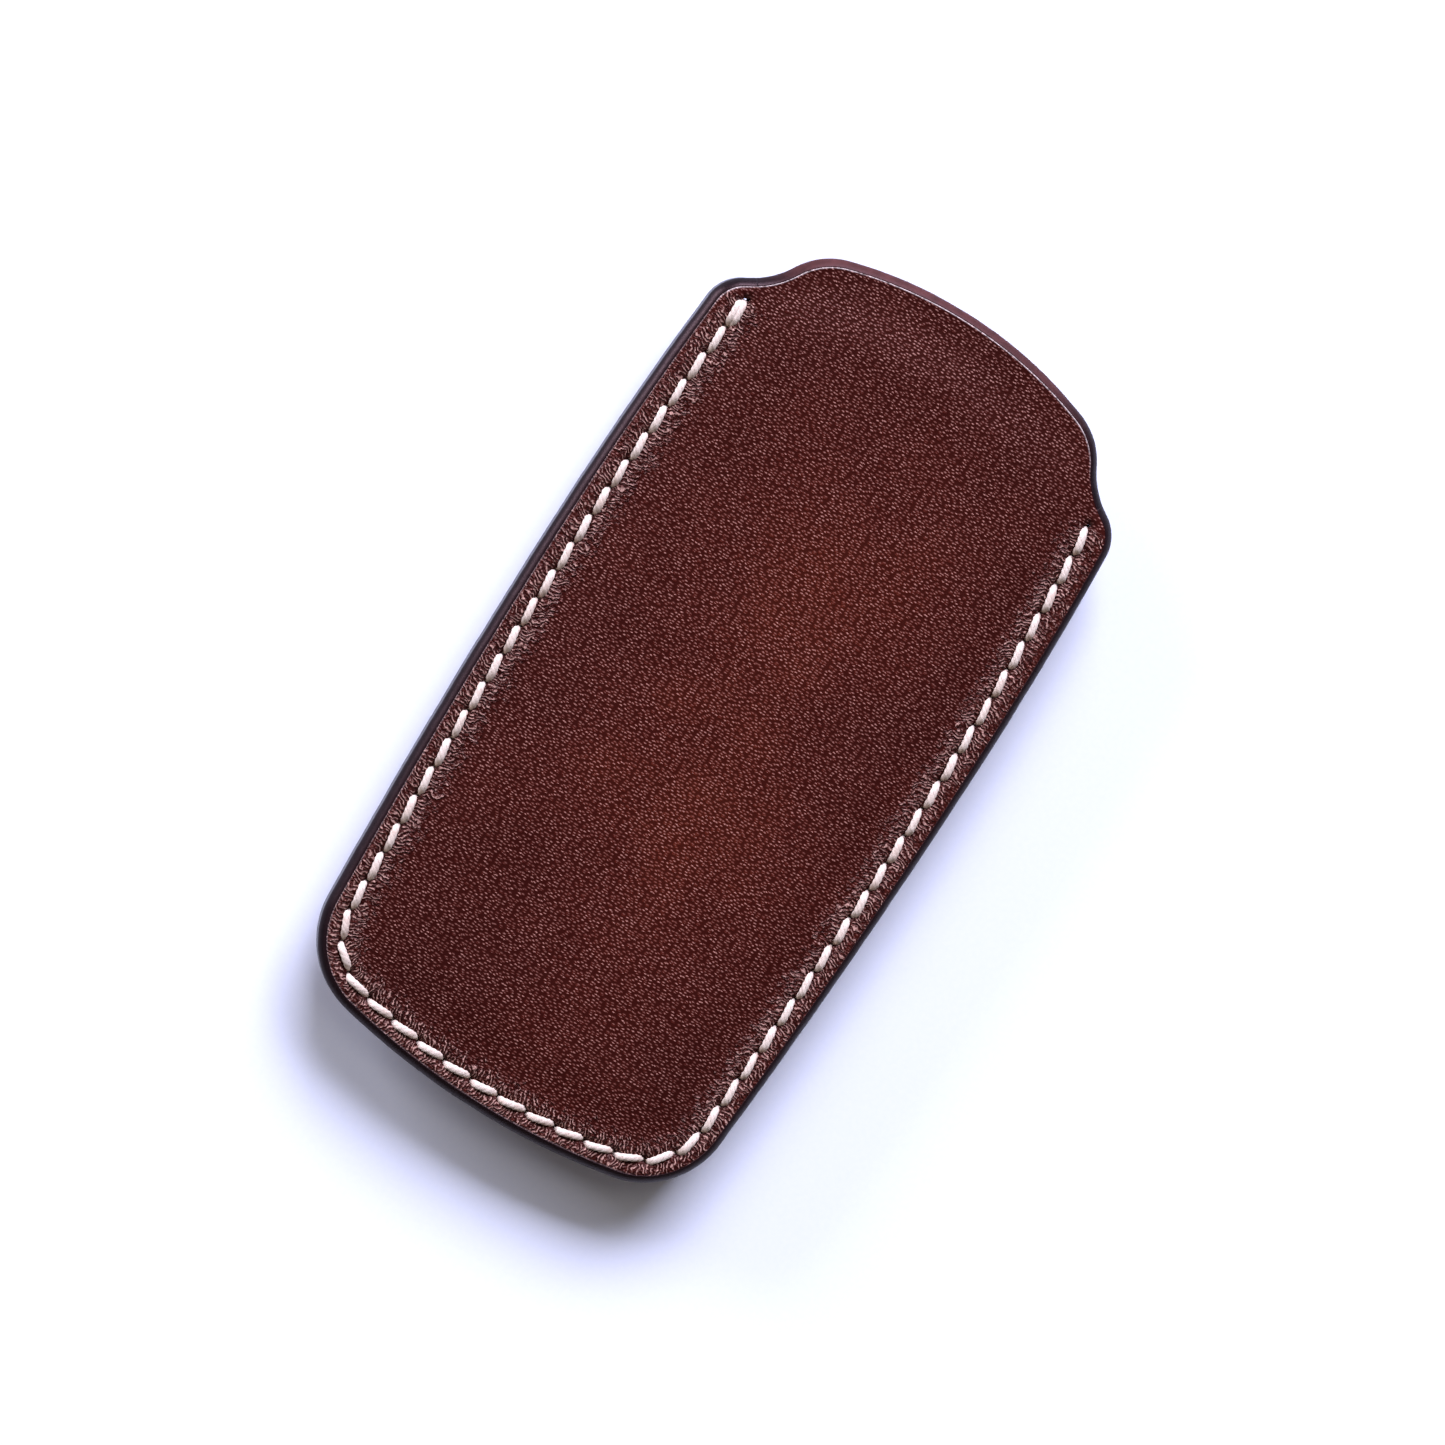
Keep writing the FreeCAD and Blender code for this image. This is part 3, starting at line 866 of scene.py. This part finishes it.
def make_mouth_coat(material):
    """The coat along the front panel's mouth and thumb notch, which follows the formed pocket."""
    path, normals = mouth_line(COAT, MOUTH_END - COAT)
    low = front_surface(0.0)(path)[0]
    thickness = Z_PARTING - Z_FRONT
    section = []
    for angle in np.linspace(0, math.pi, 11):
        section.append((-0.02 + COAT * max(math.sin(angle), 0.0) ** 0.8, 0.5 - 0.5 * math.cos(angle)))
    section += [(-0.25, 0.97), (-0.25, 0.03)]
    rings = np.empty((len(path), len(section), 3))
    for j, (out, share) in enumerate(section):
        rings[:, j, :2] = path + out * normals
        rings[:, j, 2] = low + thickness * share
    count, size = rings.shape[:2]
    points = rings.reshape(-1, 3)
    level = np.tile([share for out, share in section], count)
    return make_piece("front_mouth_coat", points, tube_faces(count, size), {"level": level}, material)


# ---- the thread ----

PLIES = 3
RING = 18
STEPS = 30
TWIST = 2.6
LOBE_DEPTH = 0.24
SOFTENING = 25
DOUBLED_ASIDE = 0.31
SUNK = 0.12
thread_rng = np.random.default_rng(41)


def stitch_path(start, end, hole_a, hole_b, z_face, up, z_deep):
    """A stitch's centre line: out of one hole, over the leather and down into the next."""
    u = unit(end - start)
    lift = THREAD_HEIGHT * 0.42
    keys = [
        (hole_a + 0.35 * (start - hole_a), z_deep),
        (hole_a + 0.75 * (start - hole_a), z_face - up * 0.55),
        (start + 0.32 * u, z_face + up * (lift - 0.32)),
        (start + 0.80 * u, z_face + up * lift),
        ((start + end) / 2, z_face + up * (lift + 0.05)),
        (end - 1.15 * u, z_face + up * (lift - 0.02)),
        (end - 0.60 * u, z_face + up * (lift - 0.34)),
        (end, z_face - up * 0.55),
        (hole_b + 0.35 * (end - hole_b), z_deep),
    ]
    points = np.array([[p[0], p[1], z] for p, z in keys])
    run = run_of(points)
    t = np.linspace(0, run[-1], 160)
    fine = np.stack([np.interp(t, run, points[:, k]) for k in range(3)], -1)
    kernel = np.hanning(SOFTENING)
    kernel /= kernel.sum()
    padded = np.pad(fine, ((SOFTENING // 2, SOFTENING // 2), (0, 0)), "edge")
    soft = np.stack([np.convolve(padded[:, k], kernel, "valid") for k in range(3)], -1)
    pick = np.linspace(0, len(soft) - 1, STEPS).astype(int)
    return soft[pick]


def strand(path, width, height, phase, first):
    """A plied strand along a path: its points, faces and two marks, its ends and its grooves."""
    tangent = np.gradient(path, axis=0)
    tangent /= np.linalg.norm(tangent, axis=1)[:, None]
    flat = path[-1] - path[0]
    aside = unit(np.array([-flat[1], flat[0], 0.0]))
    lift = np.cross(aside, tangent)
    lift /= np.linalg.norm(lift, axis=1)[:, None]
    run = run_of(path)
    share = run / run[-1]
    swell = 0.72 + 0.28 * np.sin(math.pi * np.clip((share - 0.08) / 0.84, 0, 1)) ** 0.5
    turn = np.arange(RING) * 2 * math.pi / RING
    lobe_angle = turn[None, :] - (run / TWIST * 2 * math.pi)[:, None] - phase
    crest = np.abs(np.cos(lobe_angle * PLIES / 2)) ** 0.8
    lobe = 1 - LOBE_DEPTH + LOBE_DEPTH * crest
    across = width / 2 * np.cos(turn)[None, :] * lobe * swell[:, None]
    above = height / 2 * np.sin(turn)[None, :] * lobe * swell[:, None]
    points = path[:, None, :] + across[..., None] * aside + above[..., None] * lift[:, None, :]
    end = np.maximum(smooth_step((0.24 - share) / 0.12), smooth_step((share - 0.72) / 0.14))
    faces = tube_faces(len(path), RING, first)
    return points.reshape(-1, 3), faces, np.repeat(end, RING), (1 - crest).reshape(-1)


def make_thread(material):
    """The saddle stitch: each stitch on both faces, the first one on the back doubled."""
    points, faces, ends, grooves = [], [], [], []
    total = 0
    z_deep = (Z_FRONT + Z_RIM) / 2
    for i in range(STITCH_COUNT):
        a, b = holes[i], holes[i + 1]
        start = a + THREAD_REACH * slit_directions[i]
        end = b - THREAD_REACH * slit_directions[i + 1]
        along = unit(end - start)
        aside = np.array([-along[1], along[0]])
        for z_face, up in ((Z_RIM - SUNK, 1), (Z_FRONT, -1)):
            shifts = (-DOUBLED_ASIDE, DOUBLED_ASIDE) if i == 0 and up > 0 else (0.0,)
            for shift in shifts:
                sway = aside * (shift + thread_rng.normal(0, 0.03))
                wide = THREAD_WIDTH * thread_rng.uniform(0.95, 1.06)
                high = THREAD_HEIGHT * thread_rng.uniform(0.95, 1.1)
                path = stitch_path(start + sway, end + sway, a, b, z_face, up, z_deep)
                found = strand(path, wide, high, thread_rng.uniform(0, 2 * math.pi), total)
                points.append(found[0])
                faces += found[1]
                ends.append(found[2])
                grooves.append(found[3])
                total += len(found[0])
    marks = {"end": np.concatenate(ends), "groove": np.concatenate(grooves)}
    return make_piece("saddle_stitch_thread", np.vstack(points), faces, marks, material)


# ---- materials ----

def srgb(red, green, blue):
    """A colour given as 0-255 sRGB values, as linear RGBA."""
    channels = []
    for value in (red, green, blue):
        c = value / 255
        channels.append(c / 12.92 if c <= 0.04045 else ((c + 0.055) / 1.055) ** 2.4)
    return (*channels, 1.0)


class Shader:
    """A Principled material under construction."""

    def __init__(self, name, **constants):
        self.material = bpy.data.materials.new(name)
        self.material.use_nodes = True
        self.tree = self.material.node_tree
        self.surface = self.tree.nodes["Principled BSDF"]
        for key, value in constants.items():
            self.surface.inputs[key.replace("_", " ")].default_value = value
        self.place = self.add("TexCoord").outputs["Object"]

    def add(self, kind, inputs=None, **settings):
        made = self.tree.nodes.new("ShaderNode" + kind)
        for key, value in settings.items():
            setattr(made, key, value)
        for key, value in (inputs or {}).items():
            if isinstance(value, bpy.types.NodeSocket):
                self.tree.links.new(value, made.inputs[key])
            else:
                made.inputs[key].default_value = value
        return made

    def math(self, operation, a, b=0.0, c=0.0):
        return self.add("Math", {0: a, 1: b, 2: c}, operation=operation).outputs[0]

    def times(self, a, b):
        return self.math("MULTIPLY", a, b)

    def vector(self, operation, a, b):
        return self.add("VectorMath", {0: a, 1: b}, operation=operation).outputs[0]

    def mark(self, name):
        """A value stored on the mesh's points."""
        return self.add("Attribute", attribute_name=name).outputs["Fac"]

    def noise(self, size, detail=2.0, roughness=0.5, output="Fac"):
        """Noise with features of about this size, in millimetres."""
        scale = 1 / (size * MM)
        inputs = {"Vector": self.place, "Scale": scale, "Detail": detail, "Roughness": roughness}
        return self.add("TexNoise", inputs).outputs[output]

    def ramp(self, factor, *stops):
        """A colour ramp through (position, colour) stops."""
        made = self.add("ValToRGB", {"Fac": factor})
        elements = made.color_ramp.elements
        while len(elements) < len(stops):
            elements.new(0.5)
        for element, (position, colour) in zip(elements, stops):
            element.position = position
            element.color = colour
        return made.outputs["Color"]

    def spread(self, value, low, high, to_low=0.0, to_high=1.0):
        """A value's range low..high, brought smoothly to another."""
        inputs = {"Value": value, 1: low, 2: high, 3: to_low, 4: to_high}
        return self.add("MapRange", inputs, interpolation_type="SMOOTHSTEP").outputs[0]

    def mix(self, factor, a, b):
        """Colour a, turning to colour b."""
        return self.add("Mix", {0: factor, 6: a, 7: b}, data_type="RGBA").outputs[2]

    def bump(self, height, depth, onto=None):
        """Relief of this depth, in millimetres, for heights from 0 to 1."""
        inputs = {"Height": height, "Distance": depth * MM, "Strength": 1.0}
        if onto:
            inputs["Normal"] = onto
        return self.add("Bump", inputs).outputs["Normal"]

    def finish(self, **links):
        """Joins values to the surface's own sockets."""
        for key, value in links.items():
            self.tree.links.new(value, self.surface.inputs[key.replace("_", " ")])
        return self.material


PEBBLE = 0.40
PEBBLE_LENGTH = 0.70
PEBBLE_WARP = 0.14
PEBBLE_DEPTH = 0.065
# A painted highlight on each pebble's flank that faces the window light: the shift towards the light at
# which that flank is found, and the highlight's colour.
GLINT_SHIFT = 0.10
PAINTED_GLINT = srgb(222, 164, 142)
LASH = 0.52
LASH_DEPTH = 0.12
CRINKLE_DEPTH = 0.09
PATINA_AND_LIGHT_HALF = (30.0, 60.0)


def pebbled(s, fine):
    """The grain: the pebbles' height, and how far a spot is the lit flank of one, which gets a painted
    highlight.
    """
    shift = s.vector("SUBTRACT", s.noise(0.9, output="Color"), (0.5, 0.5, 0.5))
    place = s.vector("ADD", s.place, s.vector("MULTIPLY", shift, (PEBBLE_WARP * MM,) * 3))
    place = s.vector("MULTIPLY", place, (PEBBLE / PEBBLE_LENGTH, 1.0, 1.0))

    def pebbles_at(spot):
        inputs = {"Vector": spot, "Scale": 1 / (PEBBLE * MM), "Randomness": 0.8}
        return s.add("TexVoronoi", inputs, feature="F1", voronoi_dimensions="2D").outputs

    here = pebbles_at(place)
    ahead = pebbles_at(s.vector("ADD", place, (0.0, GLINT_SHIFT * MM, 0.0)))
    slope = s.math("SUBTRACT", ahead["Distance"], here["Distance"])
    dome = s.spread(here["Distance"], 0.0, 0.62, 1.0, 0.0)
    height = s.math("ADD", s.times(dome, 0.85), s.times(fine, 0.2))
    flank = s.times(s.spread(slope, 0.11, 0.21), s.spread(here["Distance"], 0.46, 0.26))
    return height, s.times(flank, s.spread(here["Color"], 0.15, 0.95, 0.22, 1.0))


def dyed(s, cloud):
    """The uneven red-brown dye, lighter and redder towards the middle of the panel: partly patina, partly a
    painted pool of light.
    """
    half = (1 / (PATINA_AND_LIGHT_HALF[0] * MM), 1 / (PATINA_AND_LIGHT_HALF[1] * MM), 0.0)
    from_middle = s.add("VectorMath", {0: s.vector("MULTIPLY", s.place, half)}, operation="LENGTH")
    # Lighter towards the middle: partly patina, partly a painted pool of light.
    patina_and_light = s.spread(from_middle.outputs["Value"], 0.1, 1.1, 0.30, 0.0)
    tone = s.math("ADD", s.times(s.noise(30.0, 3.0, 0.55), 0.6), s.times(cloud, 0.25))
    return s.ramp(
        s.math("ADD", tone, patina_and_light),
        (0.30, srgb(62, 19, 14)),
        (0.45, srgb(67, 21, 15)),
        (0.62, srgb(75, 24, 16)),
        (0.80, srgb(88, 31, 18)),
    )


def lashes(s):
    """Fine puckers that fan out beside each stitch: 0 in a groove to 1 on a ridge, and their strength."""
    across = s.mark("across")
    place = s.math("SUBTRACT", s.math("FLOORED_MODULO", s.mark("run"), PITCH), PITCH / 2)
    fanned = s.math("DIVIDE", place, s.math("MULTIPLY_ADD", across, 0.13, 1.0))
    curl = s.times(s.times(across, across), 0.10)
    sway = s.math("MULTIPLY_ADD", s.noise(1.5), 2.0, -1.0)
    turned = s.math("ADD", s.math("ADD", fanned, curl), sway)
    wave = s.math("ABSOLUTE", s.math("SINE", s.times(turned, math.pi / LASH)))
    reach = s.math("MULTIPLY_ADD", s.noise(0.7, 1.0), 6.2, -0.95)
    strength = s.spread(s.math("SUBTRACT", across, reach), -0.3, 1.1, 1.0, 0.0)
    return s.math("POWER", wave, 0.7), s.times(strength, s.spread(across, 0.30, 0.55))


def grained_leather():
    """Fine pebbled calf, dyed by hand in uneven red-browns and waxed."""
    s = Shader("grained_calf", IOR=1.45, Specular_IOR_Level=0.28, Specular_Tint=(1.0, 0.55, 0.42, 1.0))
    fine = s.noise(0.16)
    cloud = s.noise(9.0, 3.0, 0.6)
    pebbles, painted_glints = pebbled(s, fine)
    ridge, creased = lashes(s)
    folded = s.times(ridge, creased)
    margin = s.mark("margin")
    colour = dyed(s, cloud)
    painted_glints = s.times(painted_glints, s.math("MULTIPLY_ADD", creased, -0.6, 1.0))
    # Painted highlights on the pebbles' lit flanks.
    colour = s.mix(s.times(painted_glints, 0.43), colour, PAINTED_GLINT)
    # Darker in the valleys between the pebbles: painted shade.
    colour = s.mix(s.times(s.spread(pebbles, 0.45, 0.15), 0.6), colour, srgb(34, 5, 4))
    colour = s.mix(s.times(margin, 0.12), colour, srgb(92, 40, 31))
    # Darker in the grooves of the puckers: painted shade.
    grooves = s.times(s.math("SUBTRACT", 1.0, ridge), creased)
    colour = s.mix(s.times(grooves, 0.9), colour, srgb(30, 7, 7))
    # Pale on the crests of the puckers: painted highlights.
    painted_ridge_highlights = s.times(s.spread(folded, 0.87, 1.0), s.spread(s.noise(0.5), 0.34, 0.56))
    colour = s.mix(s.times(painted_ridge_highlights, 0.64), colour, srgb(220, 172, 150))
    # Darker round each stitch hole: painted shade.
    colour = s.mix(s.times(s.mark("hole"), 0.60), colour, srgb(26, 9, 10))
    # A pale line along the rim: painted highlight.
    painted_rim_highlight = s.times(s.mark("rim"), s.spread(s.noise(0.6, 3.0), 0.36, 0.50, 0.35, 1.0))
    colour = s.mix(painted_rim_highlight, colour, srgb(236, 214, 200))
    relief = s.bump(folded, LASH_DEPTH, s.bump(pebbles, PEBBLE_DEPTH))
    relief = s.bump(s.times(s.noise(0.6, 3.0, 0.6), margin), CRINKLE_DEPTH, relief)
    shine = s.spread(s.math("ADD", fine, cloud), 0.7, 1.3, 0.25, 0.36)
    return s.finish(Base_Color=colour, Roughness=shine, Normal=relief)


def lining_leather():
    """Smooth vegetable-tanned lining, matt, with a fine hair-cell grain."""
    s = Shader("smooth_lining_leather", IOR=1.45, Sheen_Weight=0.05)
    pores = s.noise(0.22, 3.0, 0.6)
    cloud = s.noise(8.0, 3.0)
    colour = s.ramp(cloud, (0.3, srgb(92, 58, 40)), (0.7, srgb(120, 78, 54)))
    colour = s.mix(s.times(s.spread(pores, 0.55, 0.3), 0.35), colour, srgb(58, 34, 24))
    shine = s.spread(cloud, 0.3, 0.7, 0.55, 0.7)
    return s.finish(Base_Color=colour, Roughness=shine, Normal=s.bump(pores, 0.02))


def stiffening_board():
    """Pressed leather fibre board."""
    s = Shader("fibre_board", IOR=1.4)
    fibres = s.noise(0.35, 4.0, 0.7)
    colour = s.ramp(fibres, (0.3, srgb(118, 88, 62)), (0.7, srgb(160, 126, 94)))
    shine = s.spread(fibres, 0.3, 0.7, 0.75, 0.9)
    return s.finish(Base_Color=colour, Roughness=shine, Normal=s.bump(fibres, 0.05))


def waxed_thread():
    """Off-white waxed linen, darkened where it dives into the leather: painted shade, with some wax stain.
    """
    s = Shader("waxed_linen_thread", IOR=1.45, Sheen_Weight=0.1)
    fibres = s.noise(0.12, 3.0, 0.65)
    patch = s.noise(2.4, 2.0)
    colour = s.ramp(fibres, (0.25, srgb(206, 178, 152)), (0.65, srgb(244, 224, 200)))
    colour = s.mix(s.times(s.spread(patch, 0.45, 0.7), 0.35), colour, srgb(206, 164, 134))
    shaded = s.times(s.spread(s.mark("groove"), 0.45, 1.0), 0.65)
    colour = s.mix(shaded, colour, srgb(132, 98, 78))
    # Darker towards each end, where the thread dives into its hole: painted shade, with some wax stain.
    colour = s.mix(s.times(s.mark("end"), 0.72), colour, srgb(74, 50, 44))
    shine = s.spread(fibres, 0.3, 0.7, 0.5, 0.68)
    return s.finish(Base_Color=colour, Roughness=shine, Normal=s.bump(fibres, 0.04))


def edge_paint():
    """Burnished, near-black coats of edge paint, duller round the arch, and browner there as painted light
    where the arch faces the window.
    """
    tint = (1.0, 0.60, 0.54, 1.0)
    s = Shader("burnished_edge_paint", IOR=1.45, Specular_IOR_Level=0.22, Specular_Tint=tint)
    streaks = s.noise(1.6, 4.0, 0.6)
    fine = s.noise(0.25, 3.0, 0.6)
    arch = s.mark("arch")
    colour = s.ramp(streaks, (0.3, srgb(11, 7, 9)), (0.7, srgb(21, 12, 15)))
    # Browner round the arch: painted light where it faces the window.
    brown = s.ramp(streaks, (0.3, srgb(56, 28, 25)), (0.7, srgb(80, 42, 38)))
    colour = s.mix(arch, colour, brown)
    # Lighter along the top of each coat: painted highlight.
    colour = s.mix(s.times(s.spread(s.mark("level"), 0.9, 1.0), 0.3), colour, srgb(50, 30, 30))
    shine = s.spread(fine, 0.3, 0.7, 0.27, 0.35)
    shine = s.math("MULTIPLY_ADD", arch, 0.16, shine)
    return s.finish(Base_Color=colour, Roughness=shine, Normal=s.bump(fine, 0.012))


# ---- the camera and the studio ----

VIEW_SPAN = 198.68
CAMERA_DISTANCE = 900.0
LOOK_AT = (0.38, -1.26, 9.0)
LEAN_LEFT = math.radians(9.4)
LEAN_UP = math.radians(-0.7)
TURN = math.radians(32.5)
CLIP_START = 0.01
LIGHT_DISTANCE = 3.0
FLOOR_HALF = 3.0
WORLD_LOW = (0.24, 0.22, 0.24, 1.0)
WORLD_HIGH = (0.07, 0.066, 0.07, 1.0)


def add_camera():
    """Looks down on the case, a little from its left."""
    data = bpy.data.cameras.new("camera")
    camera = add_object("camera", data)
    back = Vector((-math.tan(LEAN_LEFT), math.tan(LEAN_UP), 1.0)).normalized()
    level = Vector((math.cos(TURN), math.sin(TURN), 0.0))
    right = (level - level.dot(back) * back).normalized()
    up = back.cross(right)
    place = (Vector(LOOK_AT) + CAMERA_DISTANCE * back) * MM
    turn = Matrix((right, up, back)).transposed().to_4x4()
    camera.matrix_world = Matrix.Translation(place) @ turn
    data.angle = 2 * math.atan(VIEW_SPAN / 2 / CAMERA_DISTANCE)
    data.clip_start = CLIP_START
    bpy.context.scene.camera = camera


def add_softbox(name, azimuth, elevation, width, height, power, colour):
    """A rectangular light that faces the case. Azimuth 0 is beyond the mouth, 90 on the right."""
    data = bpy.data.lights.new(name, "AREA")
    data.shape = "RECTANGLE"
    data.size = width
    data.size_y = height
    data.energy = power
    data.color = colour
    light = add_object(name, data)
    a, e = math.radians(azimuth), math.radians(elevation)
    toward = Vector((math.sin(a) * math.cos(e), math.cos(a) * math.cos(e), math.sin(e)))
    light.location = toward * LIGHT_DISTANCE
    light.rotation_euler = toward.to_track_quat("Z", "Y").to_euler()


def add_floor():
    """A plain pale sheet with the faintest tooth."""
    s = Shader("pale_floor", Roughness=0.85, Specular_IOR_Level=0.1)
    tooth = s.noise(0.8)
    colour = s.ramp(tooth, (0.2, srgb(248, 249, 251)), (0.8, srgb(252, 252, 252)))
    material = s.finish(Base_Color=colour)
    mesh = bpy.data.meshes.new("floor")
    half = FLOOR_HALF
    corners = [(-half, -half, 0), (half, -half, 0), (half, half, 0), (-half, half, 0)]
    mesh.from_pydata(corners, [], [(0, 1, 2, 3)])
    mesh.materials.append(material)
    floor = add_object("floor", mesh)
    floor.location.z = Z_FLOOR * MM


def add_world():
    """Dim grey surroundings, a little lighter below."""
    world = bpy.data.worlds.new("studio")
    world.use_nodes = True
    tree = world.node_tree
    background = tree.nodes["Background"]
    place = tree.nodes.new("ShaderNodeTexCoord")
    parts = tree.nodes.new("ShaderNodeSeparateXYZ")
    ramp = tree.nodes.new("ShaderNodeValToRGB")
    ramp.color_ramp.elements[0].color = WORLD_LOW
    ramp.color_ramp.elements[1].color = WORLD_HIGH
    tree.links.new(place.outputs["Generated"], parts.inputs[0])
    tree.links.new(parts.outputs["Z"], ramp.inputs["Fac"])
    tree.links.new(ramp.outputs["Color"], background.inputs["Color"])
    bpy.context.scene.world = world


add_camera()
add_world()
add_floor()
add_softbox("window", -11, 33, 2.3, 1.4, 230, (0.66, 0.70, 1.0))
add_softbox("low_window", -76, 16, 1.4, 0.8, 85, (0.72, 0.75, 1.0))
add_softbox("ceiling_panel", -14, 70, 0.9, 0.9, 5, (1.0, 0.98, 1.0))
bpy.context.scene.view_settings.view_transform = "Standard"

# ---- assembly ----

leather = grained_leather()
lining = lining_leather()
paint = edge_paint()
thread = waxed_thread()

# Each piece, the CAD node that it stands for and its material slot.
pieces = [
    (make_back_leather(leather), "back_leather", "grained_leather"),
    (make_back_lining(lining), "back_lining", "lining_leather"),
    (make_front_leather(leather), "front_leather", "grained_leather"),
    (make_front_lining(lining), "front_lining", "lining_leather"),
    (make_thread(thread), "seam_thread", "waxed_thread"),
    (make_body_coat(paint), "body_edge_paint", "edge_paint"),
    (make_arch_coat(paint), "back_mouth_edge_paint", "edge_paint"),
    (make_mouth_coat(paint), "front_mouth_edge_paint", "edge_paint"),
]
for piece, node, slot in pieces:
    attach(piece, "root")
    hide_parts(node)

# The board keeps its CAD solid, with fibre board on it.
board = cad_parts["back_stiffener"]
board.data.materials.clear()
board.data.materials.append(stiffening_board())
